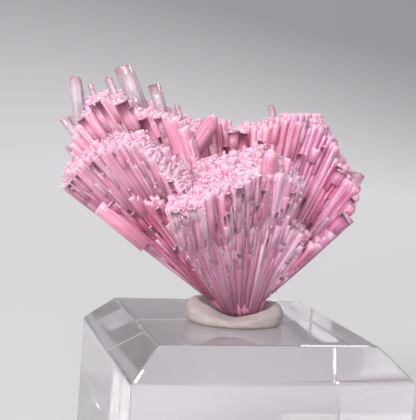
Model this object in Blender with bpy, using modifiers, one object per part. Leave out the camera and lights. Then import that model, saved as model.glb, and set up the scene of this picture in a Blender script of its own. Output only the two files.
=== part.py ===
"""A radiating pink tourmaline cluster in a pad of mineral tack on a clear bevelled block.

The block stands on its flat underside, the plane Z = 0, with the origin at the middle
of it. Crystal places are in millimetres in the cluster's own frame: across to the
right, back away from the viewer, and up. That frame is turned about Z, and its origin
is the foot, where all the crystals start from, a little in front of the block's middle.
"""
import math
import random

import bmesh
import bpy
from mathutils import Matrix, Vector

MM = 0.001

# Clear block: a square with a 45 degree bevel round its top face
BLOCK_SIDE = 31.75
BLOCK_HEIGHT = 19.05
BLOCK_BEVEL = 3.3
BLOCK_EDGE_ROUND = 0.25

# Pad of tack, squeezed up on both sides of the foot
TACK_MIDDLE = (-0.9, 0.6)
TACK_HALF_ACROSS = 5.8
TACK_HALF_BACK = 4.4
TACK_FRONT_HEIGHT = 1.15
TACK_SIDE_HEIGHT = 3.2
TACK_BACK_HEIGHT = 1.9
TACK_BULGE = 0.65
GAP = 0.3

# Frame of the cluster
CLUSTER_TURN = math.radians(-16)
FOOT = (-0.3, -1.9, BLOCK_HEIGHT + 0.6)

# Solid base of the spray: radius and height of each ring, then how it leans and narrows
BASE_RINGS = ((0.9, 0.25), (1.9, 0.5), (2.8, 1.2), (3.4, 2.1), (2.8, 3.2), (1.6, 5.0))
BASE_DEPTH_RATIO = 0.55
BASE_LEAN = -0.28
RING_SIDES = 20

# Dish pressed into the tack round that base, wider by the gap
DISH_RINGS = ((1.3, 0.0), (2.3, 0.3), (3.5, 1.1), (4.6, 2.2), (5.2, 3.2), (5.2, 5.0))
DISH_DEPTH_RATIO = 0.7

# Fans of crystals. The tips lie between a front and a back rim. The feet lie between
# two points, and root_depth behind them. Rows counted as broken start late, at starts.
BROKEN_LEFT_FAN = {
    "front": ((-21.2, -3.0, 14.3), (-20.4, -4.0, 15.6), (-19.0, -5.0, 17.0), (-17.0, -6.0, 18.7),
              (-14.8, -6.5, 19.9), (-12.6, -7.0, 19.6), (-10.8, -7.5, 18.3), (-9.3, -8.0, 16.7),
              (-7.5, -8.0, 15.1)),
    "back": ((-21.4, 1.0, 14.9), (-20.9, 0.5, 16.3), (-20.0, -1.0, 17.7), (-18.1, -2.0, 19.7),
             (-15.5, -2.5, 20.7), (-12.4, -3.0, 21.1), (-10.0, -4.0, 19.3), (-7.6, -4.0, 17.7),
             (-6.9, -5.0, 16.4)),
    "roots": ((-3.1, -0.6, 1.7), (-2.4, -1.0, 1.3)), "root_depth": 1.5,
    "starts": (0.76, 0.61, 0.64, 0.76), "broken": 1, "across": 10, "deep": 3,
}
LOW_LEFT_FAN = {
    "front": ((-17.2, -2.8, 11.8), (-15.5, -3.8, 13.6), (-12.6, -5.2, 14.0), (-9.8, -6.2, 13.8)),
    "back": ((-19.0, 3.0, 13.6), (-17.0, 3.0, 15.5), (-13.0, 1.0, 16.5), (-9.0, -1.0, 16.0)),
    "roots": ((-3.5, -0.5, 2.0), (-2.4, -0.9, 1.3)), "root_depth": 1.4,
    "starts": (0.0, 0.0), "broken": 0, "across": 7, "deep": 3,
}
TALL_LEFT_FAN = {
    "front": ((-20.6, -0.5, 17.8), (-20.2, -0.5, 22.2), (-19.2, -0.5, 24.1), (-17.4, -0.5, 24.7),
              (-15.6, -1.0, 24.5), (-13.8, -1.5, 23.5), (-12.1, -1.5, 23.2), (-10.3, -1.5, 22.8),
              (-8.6, -1.5, 21.9), (-7.3, -2.0, 20.3)),
    "back": ((-21.0, 6.0, 16.5), (-21.0, 7.0, 21.0), (-20.0, 8.0, 24.0), (-18.4, 8.5, 25.1),
             (-16.5, 8.5, 25.1), (-14.0, 8.5, 24.6), (-12.1, 8.5, 23.9), (-10.3, 8.5, 23.6),
             (-8.4, 8.5, 23.0), (-6.5, 8.0, 22.4)),
    "roots": ((-2.6, 0.4, 1.9), (-1.0, 0.4, 1.4)), "root_depth": 1.3,
    "starts": (0.0, 0.0), "broken": 0, "across": 11, "deep": 4,
}
CENTRE_FAN = {
    "front": ((-9.2, -4.8, 10.8), (-8.0, -6.5, 13.0), (-5.1, -8.5, 14.4), (-3.3, -9.4, 15.4),
              (-1.5, -9.4, 16.7), (0.4, -8.4, 17.8), (2.6, -7.4, 17.5), (4.6, -6.4, 17.1),
              (5.6, -5.0, 16.5)),
    "back": ((-8.9, -3.0, 14.2), (-7.1, -2.0, 17.7), (-5.5, -1.0, 18.5), (-3.2, -1.0, 19.1),
             (-1.0, -1.0, 19.8), (0.5, -1.0, 20.1), (2.4, -2.0, 19.6), (4.3, -1.0, 18.0),
             (5.9, -1.0, 16.8)),
    "roots": ((-2.0, -1.3, 1.0), (1.8, -1.2, 1.1)), "root_depth": 1.4,
    "starts": (0.0, 0.0), "broken": 0, "across": 9, "deep": 4,
}
NOSE = {
    "front": ((-8.8, -9.6, 13.2), (-7.2, -10.6, 14.0), (-5.0, -10.6, 14.4)),
    "back": ((-8.8, -6.5, 14.4), (-6.8, -6.0, 15.2), (-4.6, -6.0, 15.6)),
    "roots": ((-4.6, -3.0, 0.6), (-2.6, -3.0, 0.6)), "root_depth": 1.0,
    "starts": (0.62, 0.66), "broken": 2, "across": 3, "deep": 2,
}
BACK_WALL = {
    "front": ((-7.4, 1.5, 20.7), (-5.8, 2.5, 21.9), (-3.8, 3.5, 22.2), (-1.6, 3.5, 21.9),
              (0.5, 3.5, 22.1), (2.5, 3.5, 23.0), (4.4, 3.5, 23.6)),
    "back": ((-7.1, 8.5, 22.6), (-5.0, 9.0, 22.3), (-1.5, 9.0, 22.2), (0.7, 9.0, 22.4),
             (2.7, 9.0, 23.4), (5.0, 9.0, 24.1)),
    "roots": ((-1.4, 0.4, 1.4), (1.2, 0.4, 1.4)), "root_depth": 1.3,
    "starts": (0.0, 0.0), "broken": 0, "across": 7, "deep": 3,
}
RIGHT_FAN = {
    "front": ((4.6, 2.5, 23.6), (6.3, 2.5, 23.6), (8.1, 2.5, 22.5), (9.2, 2.0, 20.9),
              (10.2, 1.5, 19.0), (11.4, 1.5, 17.2), (12.3, 0.5, 16.2), (12.1, -0.5, 14.8),
              (11.2, -1.5, 12.9), (9.6, -2.5, 11.0), (7.0, -2.8, 9.3)),
    "back": ((4.9, 8.0, 24.2), (6.4, 9.0, 24.4), (8.1, 9.0, 24.2), (9.1, 9.0, 22.9),
             (10.6, 9.0, 20.2), (11.8, 8.0, 18.0), (12.7, 8.0, 16.8), (13.0, 7.0, 15.7),
             (12.1, 5.0, 13.6), (10.2, 4.0, 11.0), (7.6, 3.0, 9.3)),
    "roots": ((1.4, 0.2, 1.5), (2.2, 0.0, 2.0)), "root_depth": 1.3,
    "starts": (0.0, 0.0), "broken": 0, "across": 12, "deep": 4,
}
LOW_RIGHT_FAN = {
    "front": ((2.6, -5.2, 12.6), (4.4, -4.4, 12.2), (6.0, -3.2, 10.6), (6.4, -2.0, 8.4),
              (5.6, -1.0, 6.6)),
    "back": ((3.5, -2.0, 13.0), (6.0, -1.0, 12.2), (7.4, 0.0, 10.6), (7.2, 1.0, 8.8),
             (6.0, 2.0, 7.0)),
    "roots": ((0.9, -1.2, 1.3), (1.9, -0.2, 1.9)), "root_depth": 1.0,
    "starts": (0.0, 0.0), "broken": 0, "across": 5, "deep": 2,
}
BACK_LEDGE = {
    "front": ((-14.0, 6.5, 17.5), (-8.5, 8.0, 19.5), (-3.0, 8.5, 18.8), (2.5, 8.0, 16.5)),
    "back": ((-14.0, 8.5, 16.5), (-8.5, 10.0, 18.3), (-3.0, 10.4, 17.6), (2.5, 10.0, 15.4)),
    "roots": ((-1.4, 1.6, 1.6), (0.8, 1.6, 1.6)), "root_depth": 0.6,
    "starts": (0.62, 0.5, 0.45, 0.58), "broken": 2, "across": 8, "deep": 2,
}
FANS = (BROKEN_LEFT_FAN, LOW_LEFT_FAN, TALL_LEFT_FAN, CENTRE_FAN, NOSE, BACK_WALL, RIGHT_FAN,
        LOW_RIGHT_FAN, BACK_LEDGE)
OVERLAP = 0.66
ROOT_RADIUS = 0.5
LENGTH_CHANGE = 0.03
MOST_END_SLOPE = 0.45

# Crystals that stand out by themselves: foot, tip, radius and the form of the end
SINGLE_CRYSTALS = (
    ((-19.6, 0.0, 18.5), (-21.1, 0.0, 26.8), 0.78, "dome"),
    ((-19.6, 1.0, 18.6), (-22.3, 1.0, 21.9), 0.55, "flat"),
    ((-19.2, 1.6, 18.9), (-21.4, 1.6, 22.2), 0.55, "flat"),
    ((-20.2, 0.0, 17.0), (-21.6, 0.0, 18.7), 0.25, "point"),
    ((-18.6, 3.0, 23.4), (-19.6, 3.0, 26.0), 0.35, "flat"),
    ((-13.6, 3.0, 23.4), (-16.0, 3.0, 28.5), 1.05, "slope"),
    ((-15.9, 2.6, 23.6), (-17.6, 2.6, 27.1), 0.5, "point"),
    ((-10.6, 3.0, 22.4), (-12.2, 3.0, 26.6), 0.72, "slope"),
    ((-8.6, 4.0, 22.4), (-9.4, 4.0, 24.4), 0.35, "point"),
    ((-8.6, 0.4, 16.4), (-4.7, 1.0, 23.4), 1.05, "point"),
    ((2.8, 6.0, 22.0), (1.9, 6.0, 25.2), 0.45, "point"),
    ((1.3, -6.0, 13.0), (1.6, -7.6, 20.2), 0.95, "dome"),
    ((3.2, -5.5, 14.0), (3.6, -6.0, 19.4), 0.45, "flat"),
    ((10.6, 4.0, 13.8), (13.3, 5.0, 17.7), 0.8, "flat"),
    ((7.6, -0.4, 8.6), (11.7, 0.5, 12.9), 0.45, "flat"),
    ((6.2, -1.0, 7.4), (10.2, -0.5, 10.9), 0.5, "flat"),
    ((-11.4, -3.4, 8.3), (-17.0, -3.4, 12.4), 0.95, "flat"),
)


def colour_material(name, colour, roughness, see_through, ior):
    """A plain material of the part's own colour."""
    material = bpy.data.materials.new(name)
    material.use_nodes = True
    shader = material.node_tree.nodes["Principled BSDF"]
    shader.inputs["Base Color"].default_value = (*colour, 1.0)
    shader.inputs["Roughness"].default_value = roughness
    shader.inputs["Metallic"].default_value = 0.0
    shader.inputs["Transmission Weight"].default_value = see_through
    shader.inputs["IOR"].default_value = ior
    return material


def new_collection(name):
    collection = bpy.data.collections.new(name)
    bpy.context.scene.collection.children.link(collection)
    return collection


def object_from(bm, name, collection, material=None):
    """Turn a bmesh that was modelled in millimetres into an object in metres."""
    bmesh.ops.scale(bm, vec=(MM, MM, MM), verts=bm.verts)
    mesh = bpy.data.meshes.new(name)
    bm.to_mesh(mesh)
    bm.free()
    if material:
        mesh.materials.append(material)
    made = bpy.data.objects.new(name, mesh)
    collection.objects.link(made)
    return made


def boolean(target, operation, **operand):
    """Add an exact Boolean to the target; operand is object= or collection=."""
    modifier = target.modifiers.new(operation.lower(), "BOOLEAN")
    modifier.operation = operation
    modifier.solver = "EXACT"
    modifier.operand_type = "COLLECTION" if "collection" in operand else "OBJECT"
    for key, value in operand.items():
        setattr(modifier, key, value)


def apply_modifiers(made):
    """Replace an object's mesh with the mesh that its modifiers give."""
    evaluated = made.evaluated_get(bpy.context.evaluated_depsgraph_get())
    made.data = bpy.data.meshes.new_from_object(evaluated)
    made.modifiers.clear()


def keep_outer_skin(made):
    """Delete each closed pocket that was left between crystals, so the solid is whole."""
    bm = bmesh.new()
    bm.from_mesh(made.data)
    unseen = set(bm.verts)
    islands = []
    while unseen:
        island = set()
        edge_of_search = {unseen.pop()}
        while edge_of_search:
            vert = edge_of_search.pop()
            island.add(vert)
            edge_of_search |= {edge.other_vert(vert) for edge in vert.link_edges} - island
        unseen -= island
        islands.append(island)
    islands.sort(key=len)
    for pocket in islands[:-1]:
        bmesh.ops.delete(bm, geom=list(pocket), context="VERTS")
    bm.to_mesh(made.data)
    bm.free()


def as_guide(made):
    made.hide_render = True
    made.display_type = "WIRE"
    return made


def at_fraction(points, fraction):
    """The point at an even fraction of the way along a list of points."""
    place = fraction * (len(points) - 1)
    start = min(int(place), len(points) - 2)
    return Vector(points[start]).lerp(Vector(points[start + 1]), place - start)


def values_at(values, fraction):
    place = fraction * (len(values) - 1)
    start = min(int(place), len(values) - 2)
    return values[start] + (values[start + 1] - values[start]) * (place - start)


def cluster_frame():
    """From the cluster's own millimetres to the block's."""
    return Matrix.Translation(Vector(FOOT)) @ Matrix.Rotation(CLUSTER_TURN, 4, "Z")


def crystal(bm, foot, tip, foot_radius, tip_radius, end, chance):
    """One six-sided tapered prism whose far end is flat, sloped, pointed or domed."""
    foot = Vector(foot)
    along = Vector(tip) - foot
    length = along.length
    shaft = {"flat": 1.0, "slope": 1.0, "point": 1.0 - tip_radius / length,
             "dome": 1.0 - 1.1 * tip_radius / length}[end]
    made = bmesh.ops.create_cone(bm, cap_ends=True, segments=6, radius1=foot_radius,
                                 radius2=tip_radius, depth=length * shaft)
    verts = made["verts"]
    bmesh.ops.translate(bm, vec=(0, 0, length * shaft / 2), verts=verts)
    top = max((face for vert in verts for face in vert.link_faces),
              key=lambda face: face.calc_center_median().z)
    if end == "slope":
        slope = chance.uniform(0.2, MOST_END_SLOPE)
        for vert in top.verts:
            vert.co.z -= slope * (vert.co.x + tip_radius)
    if end in ("point", "dome"):
        narrowing = 0.3 if end == "point" else 0.55
        inner = bmesh.ops.inset_individual(bm, faces=[top], thickness=tip_radius * (1 - narrowing))
        for vert in top.verts:
            vert.co.z = length
        verts = list({vert for face in inner["faces"] for vert in face.verts} | set(verts))
    turn = along.to_track_quat("Z", "Y").to_matrix().to_4x4()
    spin = Matrix.Rotation(chance.uniform(0, math.tau), 4, "Z")
    bmesh.ops.transform(bm, matrix=Matrix.Translation(foot) @ turn @ spin, verts=verts)


def fan_crystals(fan, chance):
    """Foot, tip and radii of each crystal in a fan, in rows from its front to its back."""
    spacing = sum((Vector(b) - Vector(a)).length
                  for a, b in zip(fan["front"], fan["front"][1:])) / fan["across"]
    for row in range(fan["deep"]):
        depth = (row + 0.5) / fan["deep"]
        for column in range(fan["across"]):
            side = (column + 0.25 + 0.5 * (row % 2)) / fan["across"]
            rim = at_fraction(fan["front"], side).lerp(at_fraction(fan["back"], side), depth)
            root = at_fraction(fan["roots"], side) + Vector((0, fan["root_depth"] * depth, 0))
            tip = rim + (rim - root) * chance.uniform(-LENGTH_CHANGE, LENGTH_CHANGE)
            start = values_at(fan["starts"], side) if row < fan["broken"] else 0.0
            tip_radius = spacing * OVERLAP * chance.uniform(0.9, 1.1)
            foot_radius = ROOT_RADIUS + (tip_radius - ROOT_RADIUS) * start
            yield root.lerp(tip, start), tip, foot_radius, tip_radius


def build_cluster(collection, guides, material):
    """Every crystal joined with the solid base of the spray."""
    chance = random.Random(7)
    crystals = bpy.data.collections.new("crystals to join")
    guides.children.link(crystals)
    rods = [(*rod, chance.choice(("flat", "slope"))) for fan in FANS
            for rod in fan_crystals(fan, chance)]
    rods += [(foot, tip, radius, radius, end) for foot, tip, radius, end in SINGLE_CRYSTALS]
    for number, rod in enumerate(rods):
        bm = bmesh.new()
        crystal(bm, *rod, chance)
        bmesh.ops.transform(bm, matrix=cluster_frame(), verts=bm.verts)
        as_guide(object_from(bm, f"crystal.{number:03d}", crystals))
    cluster = base_of_spray("tourmaline_cluster", BASE_RINGS, BASE_DEPTH_RATIO, collection,
                            material)
    boolean(cluster, "UNION", collection=crystals)
    apply_modifiers(cluster)
    keep_outer_skin(cluster)
    return cluster


def base_of_spray(name, rings, depth_ratio, collection, material=None):
    """A bowl-shaped base, turned round an upright axis, then leaned and narrowed."""
    bm = bmesh.new()
    profile = ((0.0, rings[0][1]), *rings, (0.0, rings[-1][1]))
    line = [bm.verts.new((radius, 0, height)) for radius, height in profile]
    edges = [bm.edges.new(pair) for pair in zip(line, line[1:])]
    bmesh.ops.spin(bm, geom=line + edges, cent=(0, 0, 0), axis=(0, 0, 1), angle=math.tau,
                   steps=RING_SIDES, use_merge=True)
    bmesh.ops.remove_doubles(bm, verts=bm.verts, dist=0.001)
    for vert in bm.verts:
        vert.co.x += BASE_LEAN * vert.co.z
        vert.co.y *= depth_ratio
    bmesh.ops.recalc_face_normals(bm, faces=bm.faces)
    bmesh.ops.transform(bm, matrix=cluster_frame(), verts=bm.verts)
    return object_from(bm, name, collection, material)


def tack_height(angle):
    """Height of the pad round its rim: low in front, high on both sides."""
    sideways = math.cos(angle) ** 2
    middle = TACK_FRONT_HEIGHT if math.sin(angle) < 0 else TACK_BACK_HEIGHT
    return middle + (TACK_SIDE_HEIGHT - middle) * sideways


def build_tack(collection, guides, material):
    """A flattened ball with a flat underside, dished where the cluster's foot sits."""
    flat_cut = -0.45
    low = abs(flat_cut) ** TACK_BULGE
    bm = bmesh.new()
    bmesh.ops.create_uvsphere(bm, u_segments=36, v_segments=16, radius=1.0)
    cut = bmesh.ops.bisect_plane(bm, geom=[*bm.verts, *bm.edges, *bm.faces],
                                 plane_co=(0, 0, flat_cut), plane_no=(0, 0, 1), clear_inner=True)
    rim = [edge for edge in cut["geom_cut"] if isinstance(edge, bmesh.types.BMEdge)]
    bmesh.ops.edgenet_fill(bm, edges=rim)
    for vert in bm.verts:
        angle = math.atan2(vert.co.y, vert.co.x)
        lobes = 1.0 + 0.03 * math.cos(3 * angle + 0.6)
        reach = math.hypot(vert.co.x, vert.co.y) ** TACK_BULGE * lobes
        rise = (math.copysign(abs(vert.co.z) ** TACK_BULGE, vert.co.z) + low) / (1.0 + low)
        vert.co.x = TACK_MIDDLE[0] + TACK_HALF_ACROSS * reach * math.cos(angle)
        vert.co.y = TACK_MIDDLE[1] + TACK_HALF_BACK * reach * math.sin(angle)
        vert.co.z = BLOCK_HEIGHT + GAP - FOOT[2] + (tack_height(angle) - GAP) * rise
    bmesh.ops.recalc_face_normals(bm, faces=bm.faces)
    bmesh.ops.transform(bm, matrix=cluster_frame(), verts=bm.verts)
    tack = object_from(bm, "mineral_tack", collection, material)
    dish = as_guide(base_of_spray("dish cutter", DISH_RINGS, DISH_DEPTH_RATIO, guides))
    boolean(tack, "DIFFERENCE", object=dish)
    tack.data.shade_smooth()
    return tack


def build_block(collection, material):
    """The clear block: a cube whose top edges are cut back, then every edge eased."""
    bm = bmesh.new()
    size = (BLOCK_SIDE, BLOCK_SIDE, BLOCK_HEIGHT)
    bmesh.ops.create_cube(bm, size=1.0)
    bmesh.ops.scale(bm, vec=size, verts=bm.verts)
    bmesh.ops.translate(bm, vec=(0, 0, BLOCK_HEIGHT / 2), verts=bm.verts)
    top_edges = [edge for edge in bm.edges
                 if all(vert.co.z > BLOCK_HEIGHT / 2 for vert in edge.verts)]
    bmesh.ops.bevel(bm, geom=top_edges, offset=BLOCK_BEVEL, offset_type="OFFSET", segments=1,
                    affect="EDGES")
    block = object_from(bm, "acrylic_stand", collection, material)
    ease = block.modifiers.new("eased edges", "BEVEL")
    ease.width = BLOCK_EDGE_ROUND * MM
    ease.segments = 2
    ease.limit_method = "ANGLE"
    return block


for old in list(bpy.data.objects):
    bpy.data.objects.remove(old)

parts = new_collection("bicolor_tourmaline_cluster")
guides = new_collection("guides")
pink_crystal = colour_material("pink tourmaline", (0.72, 0.34, 0.43), 0.3, 0.3, 1.63)
grey_tack = colour_material("mineral tack", (0.44, 0.39, 0.35), 0.85, 0.0, 1.45)
clear_acrylic = colour_material("clear acrylic", (0.96, 0.95, 0.96), 0.03, 1.0, 1.49)
build_cluster(parts, guides, pink_crystal)
build_tack(parts, guides, grey_tack)
build_block(parts, clear_acrylic)
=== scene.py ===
"""Looks of a pink tourmaline spray, in putty on a clear bevelled display block.

Sizes and places of the putty and the crystals are in millimetres, in the spray's own frame:
across to the right, back away from the viewer, and up from the foot of the spray.
"""
import math

import bpy
import numpy as np
from mathutils import Matrix, Vector


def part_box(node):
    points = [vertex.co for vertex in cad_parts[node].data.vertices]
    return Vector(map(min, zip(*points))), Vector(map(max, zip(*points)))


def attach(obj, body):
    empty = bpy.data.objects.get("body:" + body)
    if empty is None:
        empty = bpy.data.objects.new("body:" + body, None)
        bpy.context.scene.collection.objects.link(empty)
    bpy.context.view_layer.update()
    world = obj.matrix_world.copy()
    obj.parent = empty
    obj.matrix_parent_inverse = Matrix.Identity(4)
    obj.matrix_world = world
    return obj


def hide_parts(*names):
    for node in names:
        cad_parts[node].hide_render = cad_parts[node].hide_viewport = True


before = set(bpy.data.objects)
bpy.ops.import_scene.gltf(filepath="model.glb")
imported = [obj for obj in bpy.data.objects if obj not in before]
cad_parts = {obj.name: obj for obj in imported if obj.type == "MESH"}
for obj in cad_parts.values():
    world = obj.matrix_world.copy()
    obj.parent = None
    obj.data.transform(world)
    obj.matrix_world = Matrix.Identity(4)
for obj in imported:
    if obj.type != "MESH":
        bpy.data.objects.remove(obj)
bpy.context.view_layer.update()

# Clear block. The real one is a square of polished cast acrylic, with its top edges cut back
# at 45 degrees and every edge eased. Handling has left it slightly hazy, with fine scratches
# and specks of dust, and the saw has left brushed lines on its sides.
ACRYLIC = (0.985, 0.955, 0.98)
ACRYLIC_IOR = 1.49
ACRYLIC_CLEARNESS = 0.9


def new_material(name):
    """A material with an empty node tree but for its output; returns it and a node maker."""
    material = bpy.data.materials.new(name)
    material.use_nodes = True
    nodes = material.node_tree.nodes
    nodes.clear()
    output = nodes.new("ShaderNodeOutputMaterial")

    def node(kind, settings=None, **inputs):
        """A node of this kind; an input is a plain value, or another node's output.

        An input is named with _ for each space, or by _ and its number.
        """
        made = nodes.new("ShaderNode" + kind)
        for key, value in (settings or {}).items():
            setattr(made, key, value)
        for key, value in inputs.items():
            socket = made.inputs[int(key[1:]) if key[0] == "_" else key.replace("_", " ")]
            if isinstance(value, bpy.types.NodeSocket):
                material.node_tree.links.new(value, socket)
            else:
                socket.default_value = value
        return made

    return material, node, output


def plug(material, source, socket):
    material.node_tree.links.new(source, socket)


def acrylic_material():
    material, node, output = new_material("clear cast acrylic")
    place = node("TexCoord").outputs["Object"]
    drawn = node("Mapping", Vector=place, Scale=(5200.0, 5200.0, 90.0))
    lines = node("TexNoise", {"noise_dimensions": "3D"}, Vector=drawn.outputs[0], Scale=1.0,
                 Detail=3.0)
    crossed = node("Mapping", Vector=place, Rotation=(0.0, 0.0, 0.7), Scale=(160.0, 4200.0, 4200.0))
    scratches = node("TexNoise", Vector=crossed.outputs[0], Scale=1.0, Detail=2.0)
    rare = node("MapRange", Value=scratches.outputs["Fac"], From_Min=0.66, From_Max=0.74)
    dust = node("TexVoronoi", {"feature": "F1"}, Vector=place, Scale=2600.0)
    specks = node("MapRange", Value=dust.outputs["Distance"], From_Min=0.12, From_Max=0.06)
    both = node("Math", {"operation": "MAXIMUM"}, _0=rare.outputs[0], _1=specks.outputs[0])
    rough = node("MapRange", Value=both.outputs[0], To_Min=0.015, To_Max=0.22)
    bump = node("Bump", Strength=0.05, Distance=0.00002, Height=lines.outputs["Fac"])
    shader = node("BsdfPrincipled", Base_Color=(*ACRYLIC, 1.0), Roughness=rough.outputs[0],
                  IOR=ACRYLIC_IOR, Transmission_Weight=ACRYLIC_CLEARNESS, Normal=bump.outputs[0])
    plug(material, shader.outputs[0], output.inputs["Surface"])
    return material


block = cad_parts["acrylic_stand"]
block.data.materials.clear()
block.data.materials.append(acrylic_material())

# Pad of putty. The real one is a pinch of grey mineral tack, rolled, pressed flat on the
# block and squeezed up on both sides by the foot of the spray. It is matte and lightly
# pitted, holds dark specks, and has picked up a brown line of dirt where it meets the block.
MM = 0.001
FOOT = Vector((-0.3, -1.9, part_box("acrylic_stand")[1].z / MM + 0.6))
TURN = math.radians(-16)
BLOCK_TOP = -0.6
PAD_MIDDLE = (-0.9, 0.6)
PAD_HALF_ACROSS = 5.75
PAD_HALF_BACK = 4.35
PAD_BULGE = 0.65
PAD_CUT = 0.45
PAD_HEIGHTS = {"front": 1.15, "side": 3.15, "back": 1.9}
DISH_RADII = (0.0, 1.2, 2.2, 3.3, 4.3, 5.2, 6.4)
DISH_HEIGHTS = (0.0, 0.15, 0.3, 1.0, 2.0, 3.2, 5.2)
DISH_DEPTH_RATIO = 0.62
DISH_LEAN = -0.28
DISH_SHARPNESS = 7.0
PUTTY_LUMPS = ((0.06, 2.6, 3), (0.025, 0.9, 4))
PUTTY = (0.42, 0.36, 0.345)
PUTTY_DIRT = (0.30, 0.19, 0.12)


def to_block(points):
    """From the spray's own millimetres to the block's metres: turned about Z, then moved."""
    across = points[..., 0] * math.cos(TURN) - points[..., 1] * math.sin(TURN) + FOOT.x
    back = points[..., 0] * math.sin(TURN) + points[..., 1] * math.cos(TURN) + FOOT.y
    return np.stack([across, back, points[..., 2] + FOOT.z], -1) * MM


def waves(points, length, seed, count=14):
    """Smooth lumps from -1 to 1: a mean of sine waves of about one length, each its own way."""
    chance = np.random.default_rng(seed)
    ways = chance.normal(size=(count, 3))
    ways *= (math.tau / length / np.linalg.norm(ways, axis=1) * chance.uniform(0.7, 1.4, count))[:, None]
    phase = chance.uniform(0, math.tau, count)
    return np.sin(points @ ways.T + phase).sum(-1) / math.sqrt(count)


def new_piece(name, points, faces, material, uv=None, zone=None):
    """One object at the origin: points in the block's metres, faces as lists of equal length."""
    mesh = bpy.data.meshes.new(name)
    mesh.vertices.add(len(points))
    mesh.vertices.foreach_set("co", points.astype(np.float32).ravel())
    corners = np.concatenate([part.ravel() for part in faces])
    sizes = np.concatenate([np.full(len(part), part.shape[1]) for part in faces])
    mesh.loops.add(len(corners))
    mesh.loops.foreach_set("vertex_index", corners.astype(np.int32))
    mesh.polygons.add(len(sizes))
    mesh.polygons.foreach_set("loop_start", np.concatenate([[0], np.cumsum(sizes)[:-1]]).astype(np.int32))
    if uv is not None:
        mesh.uv_layers.new(name="across and down").uv.foreach_set("vector", uv.astype(np.float32).ravel())
    if zone is not None:
        mesh.attributes.new("zone", "FLOAT_COLOR", "POINT").data.foreach_set(
            "color", zone.astype(np.float32).ravel())
    mesh.update(calc_edges=True)
    mesh.validate()
    mesh.materials.append(material)
    made = bpy.data.objects.new(name, mesh)
    bpy.context.scene.collection.objects.link(made)
    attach(made, "root")
    return made


def putty_surface(rings=46, sides=150):
    """The pad as a function of angle round it and of a profile angle from low to high.

    Reach from the middle and height follow a squared-off ball, cos and sin each to the power
    PAD_BULGE; its low part is cut flat, at the angle whose sine is PAD_CUT. Height is scaled
    by how high the rim is at that angle. The top is then kept under the dish, by a soft
    minimum. Lumps, each a height, a length and a seed, push it in and out.
    """
    low = PAD_CUT ** PAD_BULGE
    angle = np.linspace(0, math.tau, sides, endpoint=False)[None, :]
    rise = np.linspace(-math.asin(PAD_CUT), math.pi / 2, rings)[:, None]
    reach = np.abs(np.cos(rise)).clip(1e-6) ** PAD_BULGE * (1 + 0.03 * np.cos(3 * angle + 0.6))
    height = (np.sign(np.sin(rise)) * np.abs(np.sin(rise)) ** PAD_BULGE + low) / (1 + low)
    middle = np.where(np.sin(angle) < 0, PAD_HEIGHTS["front"], PAD_HEIGHTS["back"])
    crest = middle + (PAD_HEIGHTS["side"] - middle) * np.cos(angle) ** 2
    x = PAD_MIDDLE[0] + PAD_HALF_ACROSS * reach * np.cos(angle)
    y = PAD_MIDDLE[1] + PAD_HALF_BACK * reach * np.sin(angle)
    z = BLOCK_TOP + 0.01 + crest * height
    radius = np.hypot(x - DISH_LEAN * np.maximum(z, 0), y / DISH_DEPTH_RATIO)
    dish = np.interp(radius, DISH_RADII, DISH_HEIGHTS)
    dished = -np.log(np.exp(-DISH_SHARPNESS * z) + np.exp(-DISH_SHARPNESS * dish)) / DISH_SHARPNESS
    z = np.where(rise > 0, dished, z)
    points = np.stack([x, y, z], -1)
    lumps = sum(size * waves(points, length, seed) for size, length, seed in PUTTY_LUMPS)
    outward = np.stack([np.cos(angle) * np.cos(rise), np.sin(angle) * np.cos(rise),
                        np.sin(rise) + 0 * angle], -1)
    return points + outward * (lumps * np.clip(height * 3, 0, 1))[..., None]


def grid_faces(rings, sides):
    """Faces of a closed surface of rings, with a middle point closing each end."""
    ring, side = np.meshgrid(np.arange(rings - 1), np.arange(sides), indexing="ij")
    after = (side + 1) % sides
    quads = np.stack([ring * sides + side, ring * sides + after, (ring + 1) * sides + after,
                      (ring + 1) * sides + side], -1).reshape(-1, 4)
    side = np.arange(sides)
    after = (side + 1) % sides
    last = (rings - 1) * sides
    foot = np.stack([np.full(sides, rings * sides), after, side], -1)
    top = np.stack([np.full(sides, rings * sides + 1), last + side, last + after], -1)
    return quads, np.concatenate([foot, top])


def closed(points):
    """A grid's points with the middles of its first and last rings after them."""
    ends = [points[0].mean(0), points[-1].mean(0)]
    return np.concatenate([points.reshape(-1, 3), ends])


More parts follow.
